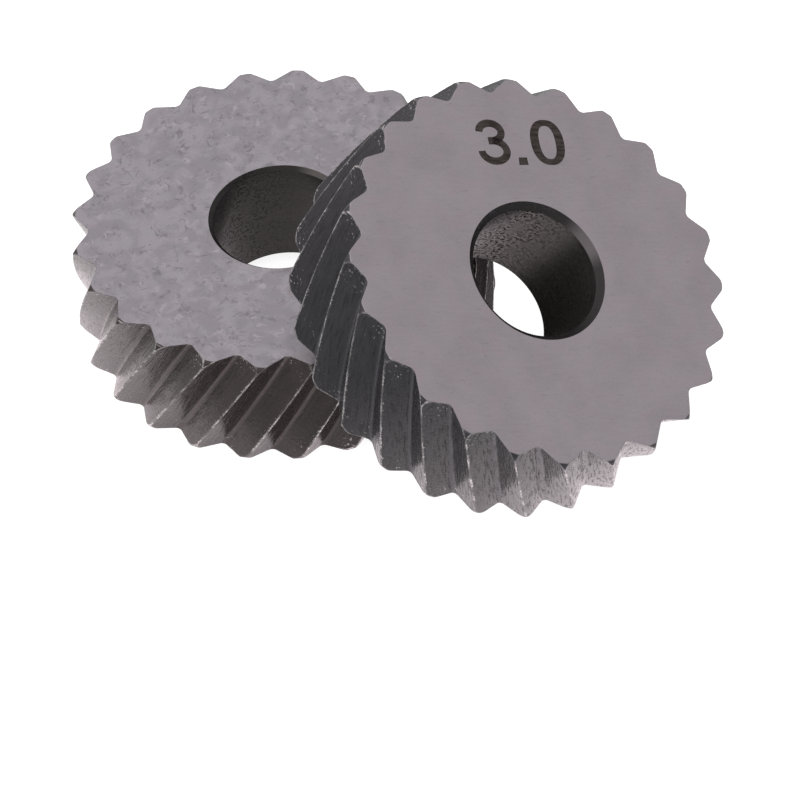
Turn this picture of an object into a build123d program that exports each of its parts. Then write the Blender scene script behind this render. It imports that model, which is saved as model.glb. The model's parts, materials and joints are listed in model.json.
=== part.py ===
"""A pair of diagonal knurling wheels, one right-hand and one left-hand.

The rear wheel lies flat on the surface with its bore upright. The front wheel leans on it:
its lowest tooth stands on the surface and its back face rests on the rear wheel's top edge.
Millimetres, +Z up. The origin is on the rear wheel's axis, at the surface.
"""
import os
from math import atan, cos, degrees, pi, radians, sin, tan

from build123d import *

# Driving dimensions of one wheel
OUTSIDE_DIAMETER = 25.0
BORE_DIAMETER = 8.0
THICKNESS = 8.0
TOOTH_COUNT = 24
TOOTH_ANGLE = 90.0  # included angle of a tooth, square to its crest
HELIX_ANGLE = 30.0  # slant of the teeth, at half their depth
ROOT_LAND = 0.26  # width of the flat at the bottom of each groove
EDGE_BEVEL_DEPTH = 0.26  # taken off each crest at both faces, towards the axis
EDGE_BEVEL_LENGTH = 0.44  # the same bevel, along the axis
FRONT_BORE_CHAMFER = 0.4  # at the upper face of the front wheel
REAR_BORE_CHAMFER = 0.25  # at the upper face of the rear wheel
LOWER_BORE_CHAMFER = 0.75  # at the undersides of both wheels

# How the pair lies
LEAN_ANGLE = 33.6  # tilt of the front wheel's axis from upright
LEAN_HEADING = -32.8  # direction in plan that its front face looks towards, from +X
SIDE_OFFSET = -1.5  # distance of its axis from the line through the rear wheel's axis
SEAT_CLEARANCE = 0.05  # between its back face and the rear wheel's top edge
FRONT_TURN = 10.3  # turn of its teeth about its own axis, from its lowest point
REAR_TURN = 7.3  # turn of the rear wheel's teeth about its axis, from +X

# Sizes that follow from those
CREST_RADIUS = OUTSIDE_DIAMETER / 2
BORE_RADIUS = BORE_DIAMETER / 2
HALF_PITCH = 180 / TOOTH_COUNT
FLANK_ANGLE = degrees(atan(tan(radians(TOOTH_ANGLE / 2)) / cos(radians(HELIX_ANGLE))))
SHARP_ROOT_RADIUS = CREST_RADIUS * sin(radians(FLANK_ANGLE)) / sin(radians(FLANK_ANGLE + HALF_PITCH))
ROOT_RADIUS = SHARP_ROOT_RADIUS + ROOT_LAND / 2 / tan(radians(FLANK_ANGLE + HALF_PITCH))
PITCH_RADIUS = (CREST_RADIUS + ROOT_RADIUS) / 2
LEAD = 2 * pi * PITCH_RADIUS / tan(radians(HELIX_ANGLE))
EDGE_RADIUS = CREST_RADIUS - EDGE_BEVEL_DEPTH


def knurl_wheel(left_handed, upper_bore_chamfer):
    """One wheel, with its underside on the XY plane and its bore along +Z."""
    groove_start = Vector(ROOT_RADIUS, -ROOT_LAND / 2)
    groove_end = Vector(ROOT_RADIUS, ROOT_LAND / 2)
    crest = Vector(CREST_RADIUS, 0).rotate(Axis.Z, HALF_PITCH)
    corners = []
    for tooth in range(TOOTH_COUNT):
        for corner in (groove_start, groove_end, crest):
            corners.append(corner.rotate(Axis.Z, 2 * HALF_PITCH * tooth))
    with BuildSketch() as tooth_outline:
        with BuildLine():
            Polyline(corners, close=True)
        make_face()

    with BuildLine() as wheel_axis:
        Line((0, 0, 0), (0, 0, THICKNESS))
    with BuildLine() as tooth_slant:
        Helix(pitch=LEAD, height=THICKNESS, radius=PITCH_RADIUS, lefthand=left_handed)

    middle = THICKNESS / 2
    bevel_meeting_radius = EDGE_RADIUS + middle * EDGE_BEVEL_DEPTH / EDGE_BEVEL_LENGTH
    with BuildPart() as wheel:
        sweep(sections=tooth_outline.sketch, path=wheel_axis.wire(), binormal=tooth_slant.wire())
        # The turned blank: its two edge bevels run on past the crests and meet outside them,
        # and its bore is chamfered at both ends
        with BuildSketch(Plane.XZ):
            with BuildLine():
                Polyline(
                    (BORE_RADIUS + LOWER_BORE_CHAMFER, 0),
                    (EDGE_RADIUS, 0),
                    (bevel_meeting_radius, middle),
                    (EDGE_RADIUS, THICKNESS),
                    (BORE_RADIUS + upper_bore_chamfer, THICKNESS),
                    (BORE_RADIUS, THICKNESS - upper_bore_chamfer),
                    (BORE_RADIUS, LOWER_BORE_CHAMFER),
                    close=True,
                )
            make_face()
        revolve(axis=Axis.Z, mode=Mode.INTERSECT)
    return wheel.part


right_hand_wheel = knurl_wheel(left_handed=False, upper_bore_chamfer=REAR_BORE_CHAMFER)
left_hand_wheel = knurl_wheel(left_handed=True, upper_bore_chamfer=FRONT_BORE_CHAMFER)

# The rear wheel lies flat
rear_plane = Plane(origin=(0, 0, 0), x_dir=Vector(1, 0, 0).rotate(Axis.Z, REAR_TURN))

# The front wheel's back face: its lowest edge is on the surface, and its plane
# passes just clear of the rear wheel's top edge
lean_sin = sin(radians(LEAN_ANGLE))
lean_cos = cos(radians(LEAN_ANGLE))
back_centre_out = EDGE_RADIUS * (1 - lean_cos) + (THICKNESS * lean_cos + SEAT_CLEARANCE) / lean_sin
back_centre = Vector(back_centre_out, SIDE_OFFSET, EDGE_RADIUS * lean_sin).rotate(Axis.Z, LEAN_HEADING)
facing = Vector(lean_sin, 0, lean_cos).rotate(Axis.Z, LEAN_HEADING)
downhill = Vector(lean_cos, 0, -lean_sin).rotate(Axis.Z, LEAN_HEADING)
tooth_zero = downhill.rotate(Axis((0, 0, 0), facing), FRONT_TURN)
front_plane = Plane(origin=back_centre, x_dir=tooth_zero, z_dir=facing)

with BuildPart(rear_plane) as rear_knurl_wheel:
    add(right_hand_wheel)

with BuildPart(front_plane) as front_knurl_wheel:
    add(left_hand_wheel)

os.makedirs("parts", exist_ok=True)
rear_knurl_wheel.part.label = "rear_knurl_wheel"
front_knurl_wheel.part.label = "front_knurl_wheel"
export_step(rear_knurl_wheel.part, "parts/rear_knurl_wheel.step")
export_step(front_knurl_wheel.part, "parts/front_knurl_wheel.step")
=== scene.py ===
"""Two diagonal knurling wheels in hardened steel, one leaning on the other, in a white light tent."""
import json
from math import cos, pi, radians, sin

import bpy
import numpy as np
from mathutils import Matrix, Vector


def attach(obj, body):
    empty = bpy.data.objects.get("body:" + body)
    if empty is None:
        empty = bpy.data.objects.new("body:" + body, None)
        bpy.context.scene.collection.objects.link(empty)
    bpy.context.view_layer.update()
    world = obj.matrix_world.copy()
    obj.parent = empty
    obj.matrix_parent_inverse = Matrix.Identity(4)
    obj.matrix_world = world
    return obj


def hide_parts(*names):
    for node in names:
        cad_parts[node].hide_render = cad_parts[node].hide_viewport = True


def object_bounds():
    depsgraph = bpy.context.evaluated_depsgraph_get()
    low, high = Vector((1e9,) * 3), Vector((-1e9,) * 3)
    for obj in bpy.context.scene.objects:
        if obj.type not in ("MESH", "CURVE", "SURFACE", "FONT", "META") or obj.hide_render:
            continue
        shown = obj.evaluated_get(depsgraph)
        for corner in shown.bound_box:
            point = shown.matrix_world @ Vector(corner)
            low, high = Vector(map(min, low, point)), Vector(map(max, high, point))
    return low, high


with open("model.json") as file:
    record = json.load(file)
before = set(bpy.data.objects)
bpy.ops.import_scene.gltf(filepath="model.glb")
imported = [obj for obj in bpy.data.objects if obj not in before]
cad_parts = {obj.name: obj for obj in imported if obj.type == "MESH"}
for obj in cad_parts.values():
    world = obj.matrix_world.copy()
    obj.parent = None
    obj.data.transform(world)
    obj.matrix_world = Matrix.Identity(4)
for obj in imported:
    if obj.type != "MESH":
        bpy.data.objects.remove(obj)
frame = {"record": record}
cad_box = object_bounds()
mounts = {mount["name"]: mount for mount in frame["record"]["mounts"]}

MM = 0.001

# One wheel, in millimetres and degrees, as the solids have it
CREST_RADIUS = 12.5
ROOT_RADIUS = 11.404
ROOT_LAND = 0.26
THICKNESS = 8.0
TOOTH_COUNT = 24
HELIX_ANGLE = 30.0
TWIST = 22.14  # turn of the teeth from one face to the other
EDGE_BEVEL_DEPTH = 0.26
EDGE_BEVEL_LENGTH = 0.44
BORE_RADIUS = mounts["rear_wheel_bore"]["dims"]["r_mm"]
FRONT_BORE_CHAMFER = 0.4
REAR_BORE_CHAMFER = 0.25
LOWER_BORE_CHAMFER = 0.75
FRONT_TURN = 10.3  # of the teeth about the axis, from the wheel's lowest point
REAR_TURN = 7.3  # of the teeth about the axis, from +X

# Fine detail that the solids leave out, in millimetres
EDGE_BREAK = 0.03  # rounding where the flat faces meet the teeth
EDGE_BREAK_MIDDLE = 0.3  # how far the middle of that rounding lies from both, as a share of it
CREST_WEAR = 0.03  # how far the sharp crests are worn down
CREST_RAGGED = 0.015  # how much that wear varies along a crest
RAGGED_WAVES = ((0.6, 60), (0.4, 24))  # share and count along a crest of each wave in that wear
REAR_SEED = 11
FRONT_SEED = 29
CREST_BREAK = 0.012  # rounding on both sides of a crest
CREST_BREAK_SHARE = 0.6  # the most of half a crest that its rounding takes
BEVEL_BREAK = 0.11  # the same rounding, where the bevel meets a face
BEVEL_ROUND = 0.12  # length over which the bevel and the crest run into each other
BEVEL_WEAR = 0.05  # extra wear of the bevel where it meets a face
BEVEL_WEAR_LENGTH = 0.16  # how far from the face that wear reaches
BEVEL_SCALE = 0.006  # taken off the whole bevel
ROOT_ROUND = 0.1  # rounding in the two corners of a groove
BORE_BREAK = 0.008  # rounding at the ends of the bore's chamfers

# How finely the meshes are cut, with lengths in millimetres
END_ROWS = (EDGE_BREAK, 0.12, 0.22, 0.33, EDGE_BEVEL_LENGTH, 0.5)  # depths of the rows near a face
INNER_START = 0.6  # depth at which the even rows begin
ROW_STEP = 0.1  # between the even rows
FLANK_STEPS = 7
FINE_STEPS = 400  # along a flank, to look up where a radius lies on it
FACE_INSET = 0.14  # of the third ring on a face, from the teeth
FACE_RADII = (10.9, 9.5, 7.5, 6.0)  # of the rings after it
RIM_INSET = 0.12  # of the last ring but one, from the bore's chamfer
BORE_INSET = 0.2  # of the bore's first and last even rings, from its chamfers
BORE_STEPS = 12
UNWORN = 1.0  # distance from a worn edge or a groove's centre, where neither is close
FAR_FROM_ENDS = 9.0

# The number on the front face, in millimetres along and across its line of writing
MARK_PLACE = (-2.27, 6.73)  # its lower left corner, from the wheel's axis
MARK_TURN = 45.0  # of its line of writing in degrees, from the wheel's lowest point
MARK_HEIGHT = 2.9
MARK_STROKE = 0.47
MARK_PROUD = 0.004
MARK_SUNK = 0.03
THREE_WAIST = 0.53 * MARK_HEIGHT
THREE_TONGUE = 0.8  # where the middle stroke begins
THREE_UPPER_MIDDLE = 1.03
THREE_UPPER_REACH = 0.73  # half the width of the upper bowl
THREE_UPPER_SWEEP = (178, -90)  # degrees at which its stroke starts and ends
THREE_LOWER_MIDDLE = 1.07
THREE_LOWER_REACH = 0.83
THREE_LOWER_SWEEP = (90, -180)
POINT_TOP = ((2.6, 0.48), (3.14, 0.48))
POINT_FOOT = ((2.54, 0.0), (3.16, 0.0))
ZERO_MIDDLE = 4.73
ZERO_OUTSIDE = (1.11, 0.5 * MARK_HEIGHT)  # half its width and height
ZERO_INSIDE = (0.54, 0.365 * MARK_HEIGHT)
OUTSIDE_SQUARENESS = 2.3  # 2 is an ellipse, and more is squarer
INSIDE_SQUARENESS = 2.5
BOWL_STEPS = 36
ZERO_STEPS = 64

# Colours of the steel, as linear red, green and blue. Pairs are the darkest and the lightest
REAR_TEETH = ((0.027, 0.019, 0.018), (0.046, 0.033, 0.031))
FRONT_TEETH = ((0.021, 0.020, 0.024), (0.036, 0.035, 0.041))
BARE_METAL = (0.62, 0.60, 0.60)
REAR_FACES = (0.290, 0.274, 0.296)
FRONT_FACES = (0.289, 0.265, 0.284)
STAIN_TINT = (0.955, 1.0, 0.985)
REAR_BORE = ((0.032, 0.031, 0.029), (0.049, 0.048, 0.045))
REAR_FLAKES = (0.045, 0.044, 0.042)
REAR_CHAMFER = (0.026, 0.025, 0.0235)
FRONT_BORE = ((0.049, 0.046, 0.043), (0.080, 0.076, 0.073))
FRONT_FLAKES = (0.160, 0.152, 0.148)
FRONT_CHAMFER = (0.029, 0.027, 0.0275)
MARK_BROWN = ((0.034, 0.028, 0.026), (0.075, 0.066, 0.062))

# Depth of the relief on each surface, in millimetres
TOOTH_RELIEF = 0.018
FACE_RELIEF = 0.0015
BORE_RELIEF = 0.008
MARK_RELIEF = 0.003

# Scuffs on a handled face: features for each millimetre, width, place in the noise and tint
SCUFFS = ((0.8, 0.04, 2.0, 0.6), (1.3, 0.05, 7.0, 0.65), (1.0, 0.05, 12.0, 1.3))
REAR_LINE_TURN = 20.0  # of the ground lines on the rear wheel's faces, in degrees

# The floor and the light tent
FLOOR_REACH = 3.0  # in metres
FLOOR_GAP = 0.02  # in millimetres, so that the floor doesn't touch the wheels
FLOOR_COLOUR = (0.5, 0.526, 0.516)
WHITE = (1.0, 1.0, 1.0)
SEEN_STRENGTH = 0.88  # with the light on the floor, this makes it white to the camera
# Tint of the painted reflection: the floor's glow that only the steel's mirror rays see
PAINTED_REFLECTION_COLOUR = (1.0, 0.88, 0.92)
# Painted reflection near the wheels, in millimetres: each pool's middle, then the distance up to which
# it is full and the distance at which it ends
PAINTED_REFLECTION_POOLS = (((0.0, 0.0, 0.0), 13.0, 17.5), ((12.0, -12.0, 0.0), 11.0, 24.0))
TENT_TINT = (1.0, 0.95, 0.965)
# Light from the walls and from overhead: the two heights between which it changes, as the Z of a
# direction, and its strengths at them
WALL_LIGHT = (0.05, 0.35, 0.6, 0.85)
TOP_LIGHT = (0.5, 1.0, 0.0, 0.65)

# The photograph's camera, in millimetres and degrees
CAMERA_DISTANCE = 700.0
CAMERA_ELEVATION = 46.794
CAMERA_ROLL = -4.694
CAMERA_AIM = (6.2149, -13.7857, 6.0)
PIXELS_PER_MM = 17.054
PICTURE_WIDTH = 800
SENSOR_WIDTH = 36.0

HALF_PITCH = pi / TOOTH_COUNT
TOOTH, FACE, BORE = range(3)
NOISE_RANGE = (0.3, 0.7)  # most of what a noise gives
# The colour sockets of a Mix node, which share their names with others
COLOUR_A, COLOUR_B = 6, 7
COLOUR_RESULT = 2


def scaled(values, amount):
    return tuple(amount * value for value in values)


# The shape of one tooth


def ragged_line(shape, seed, cells):
    """Smooth noise from -1 to 1 along the first axis, different in each column of the second."""
    rows, columns = shape
    knots = np.random.default_rng(seed).uniform(-1, 1, (cells + 1, columns))
    place = np.linspace(0, cells, rows)
    low = np.minimum(place.astype(int), cells - 1)
    part = (place - low)[:, None]
    part = part * part * (3 - 2 * part)
    return knots[low] * (1 - part) + knots[low + 1] * part


def polar(points):
    """Radius and angle of places given as sideways and outward distances."""
    return np.hypot(points[..., 0], points[..., 1]), np.arctan2(points[..., 0], points[..., 1])


def rounded(start, corner, end):
    """The middle of a curve from start to end that rounds a corner off."""
    return 0.25 * start + 0.5 * corner + 0.25 * end


def tooth_rows(heights, seed):
    """Every tooth at every height, from one groove's centre to the next.

    Gives radius, angle, distance from the nearest worn edge and distance from the groove's centre,
    each by height, tooth and point.
    """
    low = np.array([ROOT_LAND / 2, ROOT_RADIUS])
    high = np.array([sin(HALF_PITCH), cos(HALF_PITCH)]) * CREST_RADIUS
    length = np.linalg.norm(high - low)
    upward = (high - low) / length

    # How far up the flank the worn crest, or the bevel at both ends, cuts the tooth off
    depth = np.minimum(heights, THICKNESS - heights)[:, None]
    bevel = CREST_RADIUS - EDGE_BEVEL_DEPTH - BEVEL_SCALE + depth * EDGE_BEVEL_DEPTH / EDGE_BEVEL_LENGTH
    bevel = bevel - BEVEL_WEAR * np.clip(1 - depth / BEVEL_WEAR_LENGTH, 0, 1) ** 2
    shape = (len(heights), TOOTH_COUNT)
    ragged = np.zeros(shape)
    for wave, (share, cells) in enumerate(RAGGED_WAVES):
        ragged = ragged + share * ragged_line(shape, seed + wave, cells)
    crest = CREST_RADIUS - CREST_WEAR + CREST_RAGGED * ragged
    meeting = np.clip(1 - np.abs(crest - bevel) / BEVEL_ROUND, 0, 1)
    top = np.minimum(crest, bevel) - meeting**2 * BEVEL_ROUND / 4
    at_end = np.clip(1 - depth / EDGE_BEVEL_LENGTH, 0, 1)
    corner_break = CREST_BREAK + (BEVEL_BREAK - CREST_BREAK) * at_end
    steps = np.linspace(0, 1, FINE_STEPS)
    step_radius, step_angle = polar(low + steps[:, None] * (high - low))
    reach = np.interp(top - corner_break, step_radius, steps)

    # Half a groove: its flat root, the rounded corner and the flank
    corner = np.array([ROOT_LAND / 2 - ROOT_ROUND, ROOT_RADIUS])
    foot = low + ROOT_ROUND * upward
    root = np.vstack([(0, ROOT_RADIUS), corner, rounded(corner, low, foot), foot])
    start = ROOT_ROUND / length
    place = start + (reach[..., None] - start) * np.arange(1, FLANK_STEPS + 1) / FLANK_STEPS
    flank = low + place[..., None] * (high - low)
    half = np.concatenate([np.broadcast_to(root, shape + root.shape), flank], axis=2)
    radius, angle = polar(half)
    worn = np.linalg.norm(half - half[:, :, -1:], axis=-1)

    # Half a crest, or half the bevel: its rounded corner, then the flat
    sharp_angle = np.interp(top, step_radius, step_angle)
    most_break = CREST_BREAK_SHARE * (HALF_PITCH - sharp_angle)
    flat_start = sharp_angle + np.minimum(corner_break / CREST_RADIUS, most_break)
    corner_angle = rounded(angle[..., -1], sharp_angle, flat_start)
    flat_middle = np.full(shape, HALF_PITCH)
    flat_between = (flat_start + flat_middle) / 2
    crest_angle = np.stack([corner_angle, flat_start, flat_between, flat_middle], axis=-1)
    crest_width = (crest_angle - angle[..., -1:]) * CREST_RADIUS
    flatness = np.cos(HALF_PITCH - sharp_angle)[..., None] / np.cos(HALF_PITCH - crest_angle)
    crest_radius = top[..., None] * flatness
    crest_radius[..., 0] = rounded(radius[..., -1], top, crest_radius[..., 1])
    crest_worn = np.where((crest < bevel)[..., None], 0.0, crest_width - crest_width[..., :1])

    def whole(groove_part, crest_part, mirrored=lambda part: part):
        left = np.concatenate([groove_part, crest_part], axis=2)
        return np.concatenate([left, mirrored(left[:, :, -2:0:-1])], axis=2)

    return (
        whole(radius, crest_radius),
        whole(angle, crest_angle, lambda part: 2 * HALF_PITCH - part),
        whole(worn, crest_worn),
        whole(half[..., 0], half[..., -1:, 0] + crest_width),
    )


# The whole wheel, as one closed sheet of quads


class Rings:
    """Rings of points round a wheel, one after the other, with a strip of quads from each to the next.

    The distance across the teeth is the same on every ring, so that it stays the same along a tooth.
    """

    def __init__(self, across, twist):
        self.across = across
        self.columns = len(across)
        self.twist = twist
        self.kinds = []
        self.points = []
        self.angles = []
        self.measures = {"worn": [], "groove": [], "end": []}

    def add(self, kind, radius, angle, height, worn=UNWORN, groove=UNWORN, end=FAR_FROM_ENDS):
        """A ring, with the kind of surface that runs from it to the next ring.

        The last three are distances from the nearest worn edge, from the groove's centre and from
        the nearer face.
        """
        turned = np.broadcast_to(angle + self.twist * height, (self.columns,))
        level = np.full(self.columns, height)
        self.kinds.append(kind)
        self.points.append(np.stack([radius * np.cos(turned), radius * np.sin(turned), level], axis=1))
        self.angles.append(turned)
        for name, value in (("worn", worn), ("groove", groove), ("end", end)):
            self.measures[name].append(np.broadcast_to(value, (self.columns,)))


def wheel_rings(left_handed, upper_chamfer, seed):
    """The wheel's rings: up the teeth, in over the upper face, down the bore and out over the underside."""
    ends = np.array(END_ROWS)
    inner_count = round((THICKNESS - 2 * INNER_START) / ROW_STEP) + 1
    inner = np.linspace(INNER_START, THICKNESS - INNER_START, inner_count)
    heights = np.concatenate([ends, inner, (THICKNESS - ends)[::-1]])
    radius, angle, worn, groove = tooth_rows(heights, seed)
    flat_shape = (len(heights), -1)
    angle = (angle + 2 * HALF_PITCH * np.arange(TOOTH_COUNT)[None, :, None]).reshape(flat_shape)
    radius = radius.reshape(flat_shape)
    groove = groove.reshape(flat_shape)
    ends_apart = np.minimum(heights, THICKNESS - heights)
    worn = np.minimum(worn.reshape(flat_shape), ends_apart[:, None])

    middle = len(heights) // 2
    outline = radius[middle] * np.exp(1j * angle[middle])
    across = np.concatenate([[0], np.cumsum(np.abs(np.diff(outline)))])

    rings = Rings(across, radians(-TWIST if left_handed else TWIST) / THICKNESS)
    for row, height in enumerate(heights):
        kind = TOOTH if row < len(heights) - 1 else FACE
        rings.add(kind, radius[row], angle[row], height, worn[row], groove[row], ends_apart[row])

    def face_steps(row, rim):
        """Radius and depth below the face of the rings on a face, from the teeth to the bore."""
        edge = radius[row]
        steps = [
            (edge - EDGE_BREAK_MIDDLE * EDGE_BREAK, EDGE_BREAK_MIDDLE * EDGE_BREAK),
            (edge - EDGE_BREAK, 0.0),
            (edge - FACE_INSET, 0.0),
        ]
        for flat_radius in (*FACE_RADII, rim + RIM_INSET, rim + BORE_BREAK):
            steps.append((flat_radius, 0.0))
        return steps

    def chamfer_steps(chamfer):
        """Radius, depth below the face and wear of the rings on a chamfer, from the face to the bore."""
        rim = BORE_RADIUS + chamfer
        return [
            (rim - BORE_BREAK, BORE_BREAK, 0.0),
            (BORE_RADIUS + BORE_BREAK, chamfer - BORE_BREAK, 0.0),
            (BORE_RADIUS, chamfer + BORE_BREAK, UNWORN),
        ]

    upper = face_steps(-1, BORE_RADIUS + upper_chamfer)
    for step, (place, depth) in enumerate(upper, 1):
        kind = BORE if step == len(upper) else FACE
        rings.add(kind, place, angle[-1], THICKNESS - depth)
    for place, depth, wear in chamfer_steps(upper_chamfer):
        rings.add(BORE, place, angle[-1], THICKNESS - depth, worn=wear)
    bore_top = THICKNESS - upper_chamfer - BORE_INSET
    bore_foot = LOWER_BORE_CHAMFER + BORE_INSET
    for height in np.linspace(bore_top, bore_foot, BORE_STEPS):
        rings.add(BORE, BORE_RADIUS, angle[0], height)
    for place, depth, wear in reversed(chamfer_steps(LOWER_BORE_CHAMFER)):
        rings.add(BORE, place, angle[0], depth, worn=wear)
    for place, depth in reversed(face_steps(0, BORE_RADIUS + LOWER_BORE_CHAMFER)):
        rings.add(FACE, place, angle[0], depth)
    return rings


def surface_map(rings, points):
    """Where each corner of each quad lies on its own surface, in millimetres.

    On the teeth it is across and along the tooth, on a face the two directions in its plane, and
    in the bore round it and along it.
    """
    angles = np.stack(rings.angles)
    kind = np.array(rings.kinds)[:, None, None]
    angles = np.hstack([angles, angles[:, :1] + 2 * pi])
    across = np.append(rings.across, rings.across[-1] + rings.across[1])
    across = np.broadcast_to(across, angles.shape)
    points = np.hstack([points, points[:, :1]])
    x, y, height = points[..., 0], points[..., 1], points[..., 2]
    along = height / cos(radians(HELIX_ANGLE))

    def corners(values):
        ahead = np.roll(values, -1, axis=0)
        return np.stack([values[:, :-1], values[:, 1:], ahead[:, 1:], ahead[:, :-1]], axis=-1)

    kinds = [kind == TOOTH, kind == FACE]
    first = np.select(kinds, [corners(across), corners(x)], BORE_RADIUS * corners(angles))
    second = np.select(kinds, [corners(along), corners(y)], corners(height))
    return np.stack([first, second], axis=-1)


def flat_normals(points, quads):
    """Normals at the points, taken mostly from the largest quads beside them, so that flats stay flat."""
    a, b, c, d = (points[quads[:, corner]] for corner in range(4))
    areas = np.cross(c - a, d - b)
    weights = areas * np.linalg.norm(areas, axis=1, keepdims=True)
    total = np.zeros_like(points)
    for corner in range(4):
        np.add.at(total, quads[:, corner], weights)
    return total / np.linalg.norm(total, axis=1, keepdims=True)


def wheel_mesh(name, rings, place, materials):
    """A wheel as a mesh object, its points set straight into the object's frame."""
    points = np.stack(rings.points)
    count, columns = points.shape[:2]
    index = np.arange(count * columns).reshape(count, columns)
    beside = np.roll(index, -1, axis=1)
    quads = np.stack([index, beside, np.roll(beside, -1, axis=0), np.roll(index, -1, axis=0)], axis=-1)
    quads = quads.reshape(-1, 4)
    turn = np.array(place.to_3x3()).T
    placed = points.reshape(-1, 3) * MM @ turn + np.array(place.translation)

    mesh = bpy.data.meshes.new(name)
    mesh.from_pydata(placed.tolist(), [], quads.tolist())
    for material in materials:
        mesh.materials.append(material)
    mesh.polygons.foreach_set("material_index", np.repeat(rings.kinds, columns).astype(np.int32))
    layer = mesh.uv_layers.new(name="surface")
    layer.uv.foreach_set("vector", surface_map(rings, points).ravel().astype(np.float32))
    for attribute, values in rings.measures.items():
        made = mesh.attributes.new(attribute, "FLOAT", "POINT")
        made.data.foreach_set("value", np.stack(values).ravel().astype(np.float32))
    mesh.shade_smooth()
    normals = flat_normals(points.reshape(-1, 3), quads) @ turn
    mesh.normals_split_custom_set_from_vertices(normals.tolist())
    wheel = bpy.data.objects.new(name, mesh)
    bpy.context.collection.objects.link(wheel)
    return wheel


# The number on the front face


def arc(centre, reach, sweep, steps, squareness=2.0):
    """Points on an ellipse, or on a squarer curve of its kind, between two angles in degrees."""
    turn = np.radians(np.linspace(*sweep, steps))
    x = np.sign(np.cos(turn)) * np.abs(np.cos(turn)) ** (2 / squareness)
    y = np.sign(np.sin(turn)) * np.abs(np.sin(turn)) ** (2 / squareness)
    return np.stack([centre[0] + reach[0] * x, centre[1] + reach[1] * y], axis=1)


def pen_line(path):
    """The two edges of a stroke that follows a path."""
    direction = np.gradient(path, axis=0)
    direction /= np.linalg.norm(direction, axis=1, keepdims=True)
    aside = np.stack([-direction[:, 1], direction[:, 0]], axis=1) * MARK_STROKE / 2
    return path + aside, path - aside


def mark_strokes():
    """The edges of the strokes of a 3, a point and a 0, and whether each stroke closes on itself."""
    upper_reach = (THREE_UPPER_REACH, (MARK_HEIGHT - MARK_STROKE / 2 - THREE_WAIST) / 2)
    upper_centre = (THREE_UPPER_MIDDLE, THREE_WAIST + upper_reach[1])
    upper = arc(upper_centre, upper_reach, THREE_UPPER_SWEEP, BOWL_STEPS)
    upper = np.vstack([upper, (THREE_TONGUE, THREE_WAIST)])
    lower_reach = (THREE_LOWER_REACH, (THREE_WAIST - MARK_STROKE / 2) / 2)
    lower_centre = (THREE_LOWER_MIDDLE, THREE_WAIST - lower_reach[1])
    lower = arc(lower_centre, lower_reach, THREE_LOWER_SWEEP, BOWL_STEPS)
    zero_centre = (ZERO_MIDDLE, MARK_HEIGHT / 2)
    zero_outside = arc(zero_centre, ZERO_OUTSIDE, (0, 360), ZERO_STEPS, OUTSIDE_SQUARENESS)[:-1]
    zero_inside = arc(zero_centre, ZERO_INSIDE, (0, 360), ZERO_STEPS, INSIDE_SQUARENESS)[:-1]
    return [
        (*pen_line(upper), False),
        (*pen_line(lower), False),
        (POINT_TOP, POINT_FOOT, False),
        (zero_inside, zero_outside, True),
    ]


def mark_mesh(name, place, material):
    """The number, as thin plates let into the face."""
    corners = []
    quads = []
    for first, second, closed in mark_strokes():
        count = len(first)
        index = (len(corners) + np.arange(4 * count).reshape(4, count)).tolist()
        for height in (MARK_PROUD, -MARK_SUNK):
            for edge in (first, second):
                corners += [(x, y, height) for x, y in edge]
        for a in range(count if closed else count - 1):
            b = (a + 1) % count
            for near, far in ((0, 1), (1, 3), (3, 2), (2, 0)):
                quads.append([index[near][a], index[far][a], index[far][b], index[near][b]])
        if not closed:
            quads.append([index[edge][0] for edge in (0, 2, 3, 1)])
            quads.append([index[edge][-1] for edge in (0, 1, 3, 2)])
    turn = radians(MARK_TURN - FRONT_TURN)
    along = Vector((cos(turn), sin(turn), 0))
    upright = Vector((-along.y, along.x, 0))
    origin = along * MARK_PLACE[0] + upright * MARK_PLACE[1] + Vector((0, 0, THICKNESS))
    mesh = bpy.data.meshes.new(name)
    placed = [place @ ((origin + along * x + upright * y + Vector((0, 0, z))) * MM) for x, y, z in corners]
    mesh.from_pydata(placed, [], quads)
    layer = mesh.uv_layers.new(name="surface")
    for loop in mesh.loops:
        layer.uv[loop.index].vector = corners[loop.vertex_index][:2]
    mesh.materials.append(material)
    mark = bpy.data.objects.new(name, mesh)
    bpy.context.collection.objects.link(mark)
    return mark


# Materials


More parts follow.
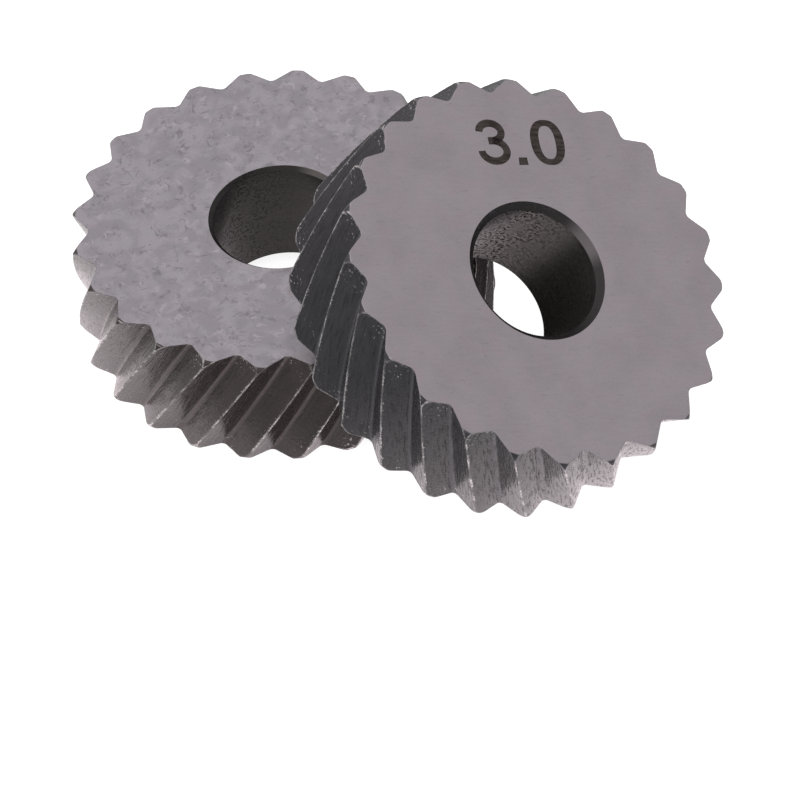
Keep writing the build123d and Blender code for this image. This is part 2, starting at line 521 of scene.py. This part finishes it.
class Nodes:
    """A tree of shader nodes, built up one node at a time."""

    def __init__(self, tree):
        self.tree = tree

    def node(self, kind, **settings):
        made = self.tree.nodes.new(kind)
        for key, value in settings.items():
            setattr(made, key, value)
        return made

    def link(self, source, target):
        """Join a socket to another, or set a plain number or colour on it."""
        if hasattr(source, "links"):
            self.tree.links.new(source, target)
        elif isinstance(source, tuple):
            target.default_value = (*source, 1.0)
        else:
            target.default_value = source

    def fit(self, value, low, high, to_low=0.0, to_high=1.0, curve="SMOOTHSTEP"):
        """A number that lies between two levels, set between two others."""
        made = self.node("ShaderNodeMapRange", interpolation_type=curve)
        levels = {"From Min": low, "From Max": high, "To Min": to_low, "To Max": to_high}
        for socket, level in levels.items():
            made.inputs[socket].default_value = level
        self.link(value, made.inputs["Value"])
        return made.outputs["Result"]

    def work(self, operation, first, *others):
        """Several numbers added, multiplied or the like, in turn."""
        for other in others:
            made = self.node("ShaderNodeMath", operation=operation)
            self.link(first, made.inputs[0])
            self.link(other, made.inputs[1])
            first = made.outputs["Value"]
        return first

    def apart(self, value, middle):
        """How far a number is from a middle level, either way."""
        made = self.node("ShaderNodeMath", operation="ABSOLUTE")
        self.link(self.work("SUBTRACT", value, middle), made.inputs[0])
        return made.outputs["Value"]

    def mix(self, amount, first, second, blend="MIX"):
        made = self.node("ShaderNodeMix", data_type="RGBA", blend_type=blend)
        self.link(amount, made.inputs["Factor"])
        self.link(first, made.inputs[COLOUR_A])
        self.link(second, made.inputs[COLOUR_B])
        return made.outputs[COLOUR_RESULT]

    def glow(self, colour, strength):
        made = self.node("ShaderNodeEmission")
        self.link(colour, made.inputs["Color"])
        self.link(strength, made.inputs["Strength"])
        return made.outputs["Emission"]

    def together(self, first, *others):
        """Several shaders added up."""
        for other in others:
            made = self.node("ShaderNodeAddShader")
            self.link(first, made.inputs[0])
            self.link(other, made.inputs[1])
            first = made.outputs["Shader"]
        return first


class Steel(Nodes):
    """A material of bare steel, built up one layer at a time."""

    def __init__(self, name):
        self.material = bpy.data.materials.new(name)
        self.material.use_nodes = True
        super().__init__(self.material.node_tree)
        self.shader = self.tree.nodes["Principled BSDF"]
        self.shader.inputs["Metallic"].default_value = 1.0
        self.surface = self.node("ShaderNodeUVMap", uv_map="surface").outputs["UV"]

    def noise(self, scale, stretch=(1, 1), detail=3.0, turn=0.0, start=0.0, swirl=0.0):
        """Noise from 0 to 1, with its scale in features for each millimetre along two turned directions."""
        place = self.node("ShaderNodeMapping", vector_type="TEXTURE")
        place.inputs["Location"].default_value = (start, start, 0)
        place.inputs["Rotation"].default_value = (0, 0, radians(turn))
        place.inputs["Scale"].default_value = (1 / stretch[0], 1 / stretch[1], 1)
        self.link(self.surface, place.inputs["Vector"])
        made = self.node("ShaderNodeTexNoise")
        made.inputs["Scale"].default_value = scale
        made.inputs["Detail"].default_value = detail
        made.inputs["Distortion"].default_value = swirl
        self.link(place.outputs["Vector"], made.inputs["Vector"])
        return made.outputs["Fac"]

    def swing(self, noise, amount):
        """A noise as a number from minus to plus an amount."""
        return self.fit(noise, *NOISE_RANGE, -amount, amount)

    def contour(self, scale, width, start):
        """1 on thin winding lines, where a smooth noise crosses its middle level."""
        level = self.noise(scale, detail=2.0, start=start, swirl=1.0)
        return self.fit(self.apart(level, 0.5), width, 0.3 * width)

    def near(self, attribute, reach, ragged):
        """1 where a measured distance in millimetres is nothing, falling to 0 over a ragged reach."""
        distance = self.node("ShaderNodeAttribute", attribute_name=attribute).outputs["Fac"]
        grain = self.swing(self.noise(11.0, detail=2.0), ragged)
        return self.fit(self.work("ADD", distance, grain), reach, 0.3 * reach)

    def finish(self, colour, roughness, height, depth):
        """The material, from its colour, its roughness and its relief, whose depth is in millimetres."""
        self.link(colour, self.shader.inputs["Base Color"])
        self.link(roughness, self.shader.inputs["Roughness"])
        bump = self.node("ShaderNodeBump")
        bump.inputs["Distance"].default_value = depth * MM
        self.link(height, bump.inputs["Height"])
        self.link(bump.outputs["Normal"], self.shader.inputs["Normal"])
        return self.material


def ground_face(name, colour, line_turn, handled):
    """A face ground flat: a fine grain, faint stains and short lines one way.

    A handled face has clouds, scuffs and specks as well.
    """
    steel = Steel(name)
    slow = steel.swing(steel.noise(0.3), 0.9 if handled else 0.4)
    grain = steel.noise(8.0)
    tone = steel.work("ADD", slow, steel.swing(grain, 0.3))
    if handled:
        clouds = steel.noise(0.9, detail=4.0, start=3.0, swirl=0.6)
        tone = steel.work("ADD", tone, steel.swing(clouds, 1.0))
    else:
        lines = steel.noise(1.2, stretch=(0.7, 4.0), detail=2.0, turn=line_turn)
        tone = steel.work("ADD", tone, steel.swing(lines, 0.12))
    base = steel.mix(steel.fit(tone, -1.0, 1.0), scaled(colour, 0.9), scaled(colour, 1.1))
    stains = steel.fit(steel.noise(0.8, detail=4.0, start=9.0), 0.35, 0.65)
    base = steel.mix(stains, base, STAIN_TINT, "MULTIPLY")
    dashes = steel.noise(1.3, stretch=(0.9, 4.0), detail=2.0, turn=line_turn, start=5.0)
    base = steel.mix(steel.fit(dashes, 0.64, 0.72, 0.0, 0.4), base, scaled(colour, 0.72))
    if handled:
        for scale, width, start, tint in SCUFFS:
            painted_highlight_at = steel.fit(steel.noise(1.1, detail=4.0, start=start + 1), 0.50, 0.68)
            scuffs = steel.work("MULTIPLY", steel.contour(scale, width, start), painted_highlight_at, 0.75)
            base = steel.mix(scuffs, base, scaled(colour, tint))
        specks = steel.fit(steel.noise(4.0, start=2.0), 0.66, 0.74, 0.0, 0.6)
        base = steel.mix(specks, base, scaled(colour, 0.5))
    roughness = steel.fit(steel.work("ADD", grain, slow), 0.1, 0.9, 0.36, 0.46)
    return steel.finish(base, roughness, grain, FACE_RELIEF)


def hardened_tooth(name, dark, light, cracked):
    """Teeth under the dark scale of hardening: drawn lines and cracks along the tooth and paler roots.

    The scale mirrors little unless it is seen along the surface, and least in the cracks, whose
    strength is given from 0 to 1. It is worn through to bright metal in ragged burrs along the crests
    and at the ends of the teeth, and in specks near them.
    """
    steel = Steel(name)
    lines = steel.noise(1.0, stretch=(2.6, 0.12), detail=2.0)
    grain = steel.noise(5.0)
    blotch = steel.noise(0.6, detail=4.0)
    base = steel.mix(steel.fit(steel.work("ADD", lines, grain, blotch), 1.1, 1.9), dark, light)
    cracks = steel.noise(2.4, stretch=(2.6, 0.35), detail=4.0, start=5.0)
    cracks = steel.fit(cracks, 0.46, 0.72, 0.0, cracked)
    base = steel.mix(cracks, base, scaled(dark, 0.4))
    root = steel.fit(lines, 0.3, 0.6, 0.5, 0.9)
    root = steel.work("MULTIPLY", steel.near("groove", 0.2, 0.02), root)
    base = steel.mix(root, base, scaled(light, 1.9))

    patchy = steel.fit(steel.noise(0.9, detail=4.0, start=6.0), 0.42, 0.60, 0.25, 1.0)
    sparkle = steel.fit(steel.noise(6.0, detail=2.0, start=8.0), 0.36, 0.60, 0.35, 1.0)
    crest = steel.work("MULTIPLY", steel.near("worn", 0.035, 0.03), patchy, sparkle)
    chipped = steel.fit(steel.noise(0.7, start=4.0), 0.45, 0.60)
    chipped = steel.work("MULTIPLY", steel.near("end", 1.6, 0.5), chipped)
    beside = steel.work("MULTIPLY", steel.near("worn", 0.2, 0.08), patchy)
    specks = steel.fit(steel.noise(5.0, start=3.0), 0.60, 0.68)
    specks = steel.work("MULTIPLY", specks, steel.work("MAXIMUM", chipped, beside), 0.8)
    rim = steel.fit(steel.noise(1.4, start=7.0), 0.48, 0.60, 0.0, 0.9)
    rim = steel.work("MULTIPLY", steel.near("end", 0.1, 0.05), rim, sparkle)
    bare = steel.work("MAXIMUM", crest, specks, rim)
    base = steel.mix(bare, base, BARE_METAL)
    steel.link(bare, steel.shader.inputs["Metallic"])
    roughness = steel.fit(steel.work("ADD", grain, blotch), 0.7, 1.3, 0.10, 0.18)
    roughness = steel.work("ADD", roughness, steel.work("MULTIPLY", cracks, 0.35))
    relief = steel.work("SUBTRACT", steel.work("ADD", lines, grain), cracks)
    return steel.finish(base, roughness, relief, TOOTH_RELIEF)


def bore_wall(name, dark, light, flaked, rim, pit_strength, pitted, painted_highlight_at):
    """The bore: fine rings left by the tool, a patch of flakes and pits, and dark chamfers.

    The patch is at one distance round the bore in millimetres, and a painted highlight, a paler stretch
    of the chamfers, at another.
    """
    steel = Steel(name)
    rings = steel.noise(1.2, stretch=(0.1, 3.0), detail=2.0)
    grain = steel.noise(4.0)
    base = steel.mix(steel.fit(steel.work("ADD", rings, grain), 0.6, 1.4), dark, light)
    round_bore = steel.node("ShaderNodeSeparateXYZ")
    steel.link(steel.surface, round_bore.inputs["Vector"])

    def beside(place, reach):
        return steel.fit(steel.apart(round_bore.outputs["X"], place), reach, 0.2 * reach)

    patch = steel.fit(steel.noise(0.8, start=1.0), 0.32, 0.54)
    patch = steel.work("MULTIPLY", patch, beside(pitted, 5.5))
    flakes = steel.fit(steel.noise(5.0, start=9.0), 0.40, 0.62)
    base = steel.mix(steel.work("MULTIPLY", flakes, patch), base, flaked)
    pits = steel.fit(steel.noise(5.5, start=2.0), 0.51, 0.58, 0.0, pit_strength)
    pits = steel.work("MULTIPLY", pits, patch)
    base = steel.mix(pits, base, scaled(dark, 0.1))
    # Painted highlight: the chamfer made 4.2 times paler over a stretch round the bore
    chamfer = steel.mix(beside(painted_highlight_at, 1.8), rim, scaled(rim, 4.2))
    base = steel.mix(steel.near("worn", 0.5, 0.02), base, chamfer)
    steel.link(steel.fit(pits, 0.0, 1.0, 0.6, 0.05), steel.shader.inputs["Metallic"])
    steel.shader.inputs["Specular IOR Level"].default_value = 0.3
    roughness = steel.fit(grain, *NOISE_RANGE, 0.26, 0.38)
    roughness = steel.work("ADD", roughness, steel.work("MULTIPLY", pits, 0.4))
    return steel.finish(base, roughness, steel.work("SUBTRACT", grain, pits), BORE_RELIEF)


def burnt_mark(name):
    """The burnt brown of the number."""
    steel = Steel(name)
    streaks = steel.noise(2.0, stretch=(0.6, 3.0))
    base = steel.mix(steel.fit(streaks, 0.35, 0.7), *MARK_BROWN)
    return steel.finish(base, steel.fit(streaks, *NOISE_RANGE, 0.42, 0.58), streaks, MARK_RELIEF)


# The two wheels


def wheel_place(foot, axis, toward, turn):
    """The matrix that sets a wheel on an axis, its teeth turned from a direction by an angle."""
    toward = (toward - axis * toward.dot(axis)).normalized()
    start = Matrix.Rotation(radians(turn), 3, axis) @ toward
    return Matrix.Translation(foot) @ Matrix((start, axis.cross(start), axis)).transposed().to_4x4()


front_bore = mounts["front_wheel_bore"]
front_axis = Vector(front_bore["axis"]).normalized()
front_foot = Vector(front_bore["pos_m"]) - front_axis * THICKNESS / 2 * MM
front_place = wheel_place(front_foot, front_axis, Vector((0, 0, -1)), FRONT_TURN)
rear_place = wheel_place(Vector((0, 0, 0)), Vector((0, 0, 1)), Vector((1, 0, 0)), REAR_TURN)

# Each bore's chamfers carry a painted highlight at the distance round the bore that is given last
rear_bore_wall = bore_wall(
    "rear bore", *REAR_BORE, REAR_FLAKES, REAR_CHAMFER, pit_strength=0.55, pitted=9.2, painted_highlight_at=3.0
)
rear_materials = [
    hardened_tooth("rear teeth", *REAR_TEETH, cracked=0.45),
    ground_face("rear faces", REAR_FACES, REAR_LINE_TURN, handled=True),
    rear_bore_wall,
]
front_bore_wall = bore_wall(
    "front bore", *FRONT_BORE, FRONT_FLAKES, FRONT_CHAMFER, pit_strength=1.0, pitted=9.5, painted_highlight_at=4.3
)
front_materials = [
    hardened_tooth("front teeth", *FRONT_TEETH, cracked=0.9),
    ground_face("front faces", FRONT_FACES, MARK_TURN - FRONT_TURN, handled=False),
    front_bore_wall,
]
rear_rings = wheel_rings(False, REAR_BORE_CHAMFER, REAR_SEED)
front_rings = wheel_rings(True, FRONT_BORE_CHAMFER, FRONT_SEED)
rear_wheel = wheel_mesh("rear_wheel_steel", rear_rings, rear_place, rear_materials)
front_wheel = wheel_mesh("front_wheel_steel", front_rings, front_place, front_materials)
mark = mark_mesh("front_wheel_mark", front_place, burnt_mark("burnt mark"))
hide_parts("rear_knurl_wheel")
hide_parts("front_knurl_wheel")
for piece, body in ((rear_wheel, "rear_wheel"), (front_wheel, "front_wheel"), (mark, "front_wheel")):
    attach(piece, body)


# Studio


def floor_material():
    """White to the camera, matt under the light, with pools of painted reflection that only the steel sees.
    """
    material = bpy.data.materials.new("white floor")
    material.use_nodes = True
    nodes = Nodes(material.node_tree)
    nodes.tree.nodes.clear()
    matt = nodes.node("ShaderNodeBsdfDiffuse")
    nodes.link(FLOOR_COLOUR, matt.inputs["Color"])
    path = nodes.node("ShaderNodeLightPath").outputs
    seen = nodes.glow(WHITE, nodes.work("MULTIPLY", path["Is Camera Ray"], SEEN_STRENGTH))

    place = nodes.node("ShaderNodeNewGeometry").outputs["Position"]
    pools = []
    for middle, near, far in PAINTED_REFLECTION_POOLS:
        distance = nodes.node("ShaderNodeVectorMath", operation="DISTANCE")
        nodes.link(place, distance.inputs[0])
        distance.inputs[1].default_value = scaled(middle, MM)
        pools.append(nodes.fit(distance.outputs["Value"], near * MM, far * MM, 1.0, 0.0, "LINEAR"))
    # Painted reflection: the floor glows for mirror rays only, fully within each pool and fading to nothing
    # beyond it
    mirrored = nodes.work("MAXIMUM", path["Is Glossy Ray"], path["Is Transmission Ray"])
    mirrored = nodes.glow(PAINTED_REFLECTION_COLOUR, nodes.work("MULTIPLY", mirrored, nodes.work("MAXIMUM", *pools)))

    output = nodes.node("ShaderNodeOutputMaterial")
    nodes.link(nodes.together(matt.outputs["BSDF"], seen, mirrored), output.inputs["Surface"])
    return material


def white_floor():
    """A white floor that keeps a soft shadow."""
    level = cad_box[0][2] - FLOOR_GAP * MM
    mesh = bpy.data.meshes.new("floor")
    sides = ((-1, -1), (1, -1), (1, 1), (-1, 1))
    corners = [(x * FLOOR_REACH, y * FLOOR_REACH, level) for x, y in sides]
    mesh.from_pydata(corners, [], [(0, 1, 2, 3)])
    mesh.materials.append(floor_material())
    floor = bpy.data.objects.new("floor", mesh)
    bpy.context.collection.objects.link(floor)


def studio_world():
    """The inside of a white light tent, brightest overhead and darkest at the foot of its walls."""
    world = bpy.data.worlds.new("studio")
    bpy.context.scene.world = world
    world.use_nodes = True
    nodes = Nodes(world.node_tree)
    background = nodes.tree.nodes["Background"]
    nodes.link(TENT_TINT, background.inputs["Color"])
    direction = nodes.node("ShaderNodeSeparateXYZ")
    nodes.link(nodes.node("ShaderNodeTexCoord").outputs["Generated"], direction.inputs["Vector"])
    height = direction.outputs["Z"]
    strength = nodes.work("ADD", nodes.fit(height, *WALL_LIGHT), nodes.fit(height, *TOP_LIGHT))
    nodes.link(strength, background.inputs["Strength"])


def photo_camera():
    """The photograph's camera: a long lens, a little rolled."""
    elevation = radians(CAMERA_ELEVATION)
    roll = radians(CAMERA_ROLL)
    look = Vector((0, cos(elevation), -sin(elevation)))
    level = Vector((1, 0, 0))
    upright = level.cross(look)
    right = level * cos(roll) + upright * sin(roll)
    up = upright * cos(roll) - level * sin(roll)
    data = bpy.data.cameras.new("camera")
    data.sensor_width = SENSOR_WIDTH
    data.lens = SENSOR_WIDTH * PIXELS_PER_MM * CAMERA_DISTANCE / PICTURE_WIDTH
    camera = bpy.data.objects.new("camera", data)
    bpy.context.collection.objects.link(camera)
    stand = (Vector(CAMERA_AIM) - look * CAMERA_DISTANCE) * MM
    camera.matrix_world = Matrix.Translation(stand) @ Matrix((right, up, -look)).transposed().to_4x4()
    bpy.context.scene.camera = camera


white_floor()
studio_world()
photo_camera()
bpy.context.scene.view_settings.view_transform = "Standard"
